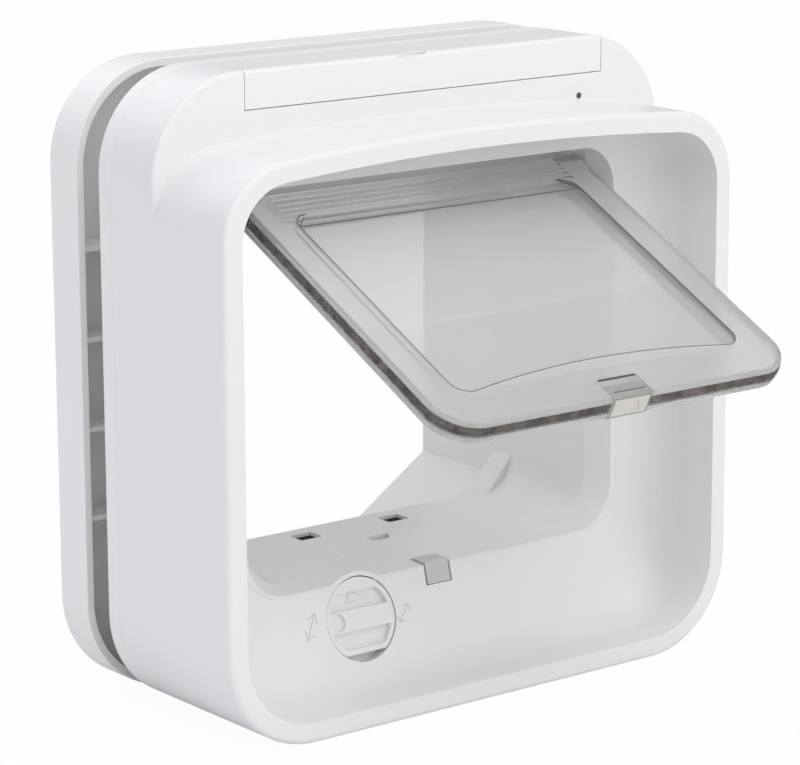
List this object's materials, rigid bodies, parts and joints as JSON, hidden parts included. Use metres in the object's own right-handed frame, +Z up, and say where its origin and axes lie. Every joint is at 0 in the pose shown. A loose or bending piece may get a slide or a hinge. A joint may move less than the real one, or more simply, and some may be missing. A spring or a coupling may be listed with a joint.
{
  "type": "cat flap",
  "caption": "Door-mounted cat flap: hooded indoor unit with a clear swinging flap, lock dial and latch, a tunnel sleeve and an outdoor frame.",
  "frame": {"origin": "centre of the four fixing screws, on the face of the indoor unit that lies against the door", "axes": "+X to the right seen from indoors, +Y outdoors through the door along the tunnel, +Z up"},
  "size_m": [0.21, 0.1983, 0.21],
  "materials": {
    "white_plastic": "satin white moulding",
    "cover_plastic": "satin white moulding",
    "frame_plastic": "satin white moulding",
    "insert_brass": "turned brass",
    "clear_plastic": "clear moulding",
    "brush_pile": "dark pile",
    "steel": "bright zinc plate",
    "magnet_metal": "bright nickel plate",
    "dial_plastic": "matt off-white",
    "latch_plastic": "matt grey",
    "gear_plastic": "natural nylon",
    "board": "green solder mask",
    "black_plastic": "matt black",
    "cell_jacket": "plain dark jacket",
    "copper": "enamelled copper wire",
    "light_pipe": "tinted light pipe"
  },
  "bodies": {
    "indoor_unit": {"housing": "white_plastic", "rear_frame": "frame_plastic", "housing_screws": "steel", "screw_inserts": "insert_brass", "battery_tray": "black_plastic", "battery_1": "cell_jacket", "battery_2": "cell_jacket", "battery_3": "cell_jacket", "battery_4": "cell_jacket", "battery_contacts": "magnet_metal", "circuit_board": "board", "board_components": "black_plastic", "indicator_board": "board", "status_light": "light_pipe", "aerial_coil": "copper", "sensor_windows": "black_plastic", "sensor_board": "board", "latch_motor": "steel", "latch_guide": "black_plastic", "floor_magnet": "magnet_metal"},
    "outdoor_unit": {"outer_frame": "frame_plastic"},
    "cover": {"battery_cover": "cover_plastic"},
    "learn_key": {"learn_button": "black_plastic"},
    "flap": {"flap_panel": "clear_plastic", "brush_left": "brush_pile", "brush_right": "brush_pile", "magnet_holder": "clear_plastic", "magnet": "magnet_metal", "hinge_pins": "steel"},
    "dial": {"lock_dial": "dial_plastic", "dial_cam": "gear_plastic", "dial_clip": "steel"},
    "inward_latch": {"entry_latch": "latch_plastic"},
    "motor_gear": {"latch_pinion": "gear_plastic"},
    "outward_latch": {"exit_latch": "latch_plastic"}
  },
  "joints": [
    {"name": "flap_swing", "type": "hinge", "parent": "indoor_unit", "child": "flap", "pos_m": [0, -0.025, 0.0609], "axis": [1, 0, 0], "range_deg": [-20, 143]},
    {"name": "outer_frame_slide", "type": "slide", "parent": "indoor_unit", "child": "outdoor_unit", "axis": [0, 1, 0], "range_m": [-0.008, 0.022]},
    {"name": "battery_cover_lift", "type": "slide", "parent": "indoor_unit", "child": "cover", "axis": [0, 0, 1], "range_m": [0, 0.03]},
    {"name": "learn_button_press", "type": "slide", "parent": "indoor_unit", "child": "learn_key", "axis": [0, 0, -1], "range_m": [0, 0.0008], "stiffness_N_per_m": 1200, "springref_m": -0.0004},
    {"name": "lock_dial_turn", "type": "hinge", "parent": "indoor_unit", "child": "dial", "pos_m": [-0.034, -0.04175, -0.07712], "axis": [0, -0.9659, 0.2588], "range_deg": [-90, 180]},
    {"name": "entry_latch_lift", "type": "slide", "parent": "indoor_unit", "child": "inward_latch", "axis": [0, 0, 1], "range_m": [0, 0.008]},
    {"name": "latch_pinion_turn", "type": "hinge", "parent": "indoor_unit", "child": "motor_gear", "pos_m": [0.0091, -0.031, -0.083], "axis": [0, 1, 0], "range_deg": [0, 91.7]},
    {"name": "exit_latch_lift", "type": "slide", "parent": "indoor_unit", "child": "outward_latch", "axis": [0, 0, 1], "range_m": [0, 0.009]}
  ],
  "couplings": [
    {"joint": "latch_pinion_turn", "follows": "entry_latch_lift", "rad_per_m": 200}
  ]
}
